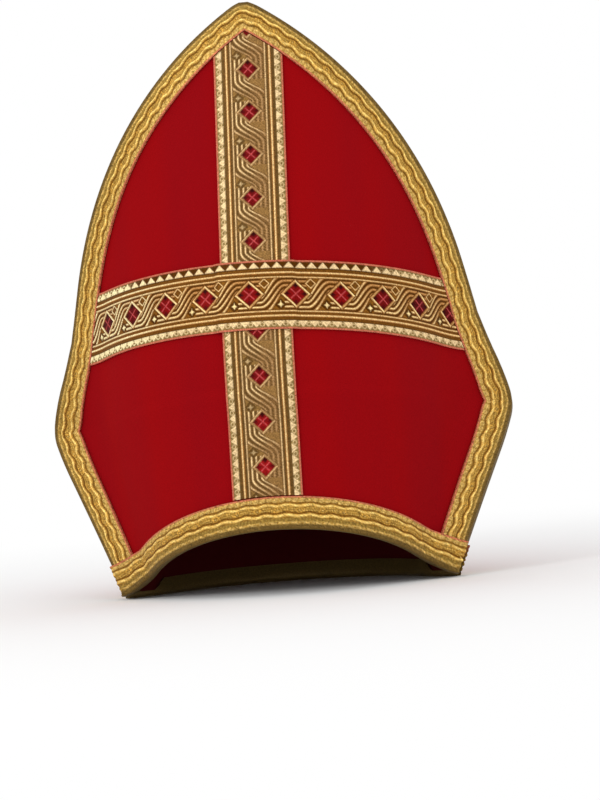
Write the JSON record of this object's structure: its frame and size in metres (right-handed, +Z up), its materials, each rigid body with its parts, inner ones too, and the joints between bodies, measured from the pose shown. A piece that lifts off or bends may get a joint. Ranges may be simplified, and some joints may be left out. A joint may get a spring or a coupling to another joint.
{
  "type": "bishop mitre",
  "caption": "Tall two-peaked ceremonial hat of red velvet with gold braid on its edges and rim, a patterned gold cross on the front and an open head hollow.",
  "frame": {"origin": "centre of the bounding box's base, on the surface that the mitre rests on", "axes": "+Z up, +Y towards the back, the decorated front panel faces -Y, +X to the right in a front view; the mitre leans back on its corners and back rim"},
  "size_m": [0.3462, 0.2908, 0.4324],
  "materials": {
    "red_velvet": "deep red velvet pile, matt with a soft sheen",
    "red_cloth": "plain red cloth, matt",
    "gold_braid": "metallic gold thread braid with raised wavy cords",
    "gold_galloon": "antique gold woven ribbon with scrolls and red diamonds"
  },
  "bodies": {
    "root": {"front_panel": "red_velvet", "back_panel": "red_velvet", "crown_gusset": "red_cloth", "front_edge_braid": "gold_braid", "back_edge_braid": "gold_braid", "front_rim_braid": "gold_braid", "back_rim_braid": "gold_braid", "front_upright_galloon": "gold_galloon", "front_cross_galloon": "gold_galloon"}
  },
  "joints": []
}
